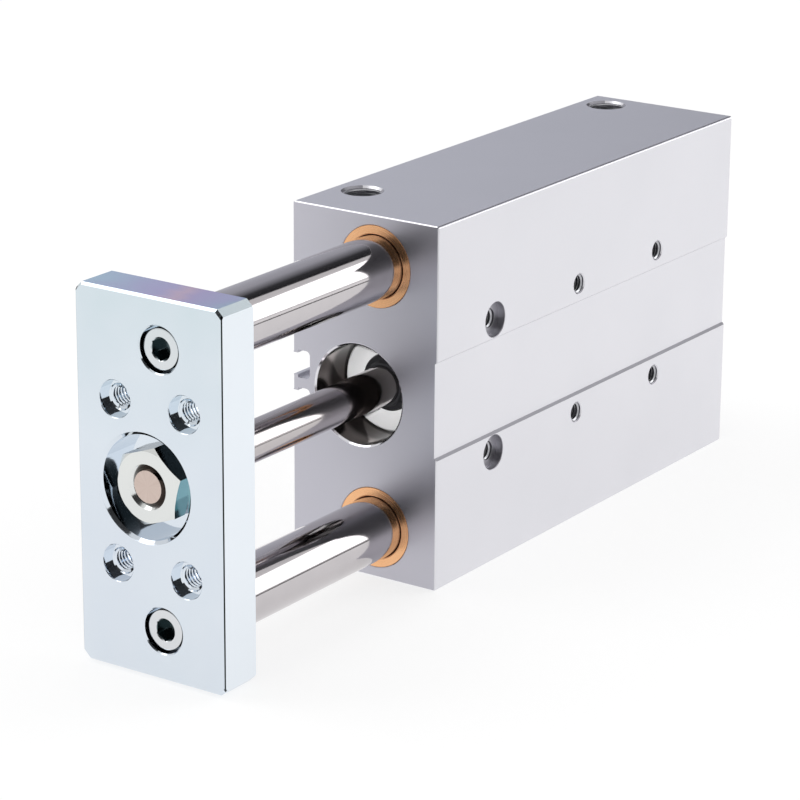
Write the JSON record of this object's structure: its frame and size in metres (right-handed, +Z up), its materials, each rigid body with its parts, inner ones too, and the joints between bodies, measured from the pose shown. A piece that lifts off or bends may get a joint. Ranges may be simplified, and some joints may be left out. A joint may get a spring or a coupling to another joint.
{
  "type": "guided pneumatic cylinder",
  "caption": "Compact guided air cylinder: rectangular aluminium block with side T-slots, two bronze-bushed guide rods and a piston rod that carry a drilled tool plate on one sliding axis.",
  "frame": {"origin": "centre of the block's bottom face, the narrow face that it stands on", "axes": "+Z up along the block's height, +Y from the tool plate to the closed rear end along the piston axis, +X out of the broad side with the screw holes"},
  "size_m": [0.0434, 0.23, 0.094],
  "materials": {
    "anodised_aluminium": "satin clear anodised",
    "bronze": "machined sintered bronze",
    "bright_aluminium": "bright turned",
    "seal_rubber": "satin",
    "spring_steel": "phosphated",
    "bumper_rubber": "matt",
    "zinc_plated_steel": "bright zinc plated",
    "chromed_steel": "ground and hard chromed",
    "zinc_plated_screw": "bright zinc plated",
    "chromed_rod": "polished",
    "zinc_plated_nut": "bright zinc plated",
    "magnet": "plastic bonded ferrite",
    "wear_plastic": "satin"
  },
  "bodies": {
    "housing": {"cylinder_body": "anodised_aluminium", "upper_front_bush": "bronze", "upper_inner_bush": "bronze", "lower_front_bush": "bronze", "lower_inner_bush": "bronze", "front_gland": "bright_aluminium", "gland_bush": "bronze", "rod_seal": "seal_rubber", "rod_wiper": "seal_rubber", "gland_lock_wire": "spring_steel", "gland_o_ring": "seal_rubber", "front_bumper": "bumper_rubber", "rear_cover": "bright_aluminium", "rear_cover_o_ring": "seal_rubber", "rear_bumper": "bumper_rubber", "rear_circlip": "spring_steel"},
    "carriage": {"tool_plate": "zinc_plated_steel", "upper_guide_rod": "chromed_steel", "lower_guide_rod": "chromed_steel", "guide_rod_screws": "zinc_plated_screw", "piston_rod": "chromed_rod", "rod_nut": "zinc_plated_nut", "piston_front_half": "bright_aluminium", "piston_rear_half": "bright_aluminium", "magnet_ring": "magnet", "wear_ring": "wear_plastic", "front_piston_seal": "seal_rubber", "rear_piston_seal": "seal_rubber", "piston_o_ring": "seal_rubber", "piston_nut": "zinc_plated_nut"}
  },
  "joints": [
    {"name": "carriage_slide", "type": "slide", "parent": "housing", "child": "carriage", "axis": [0, -1, 0], "range_m": [-0.072, 0.008]}
  ]
}
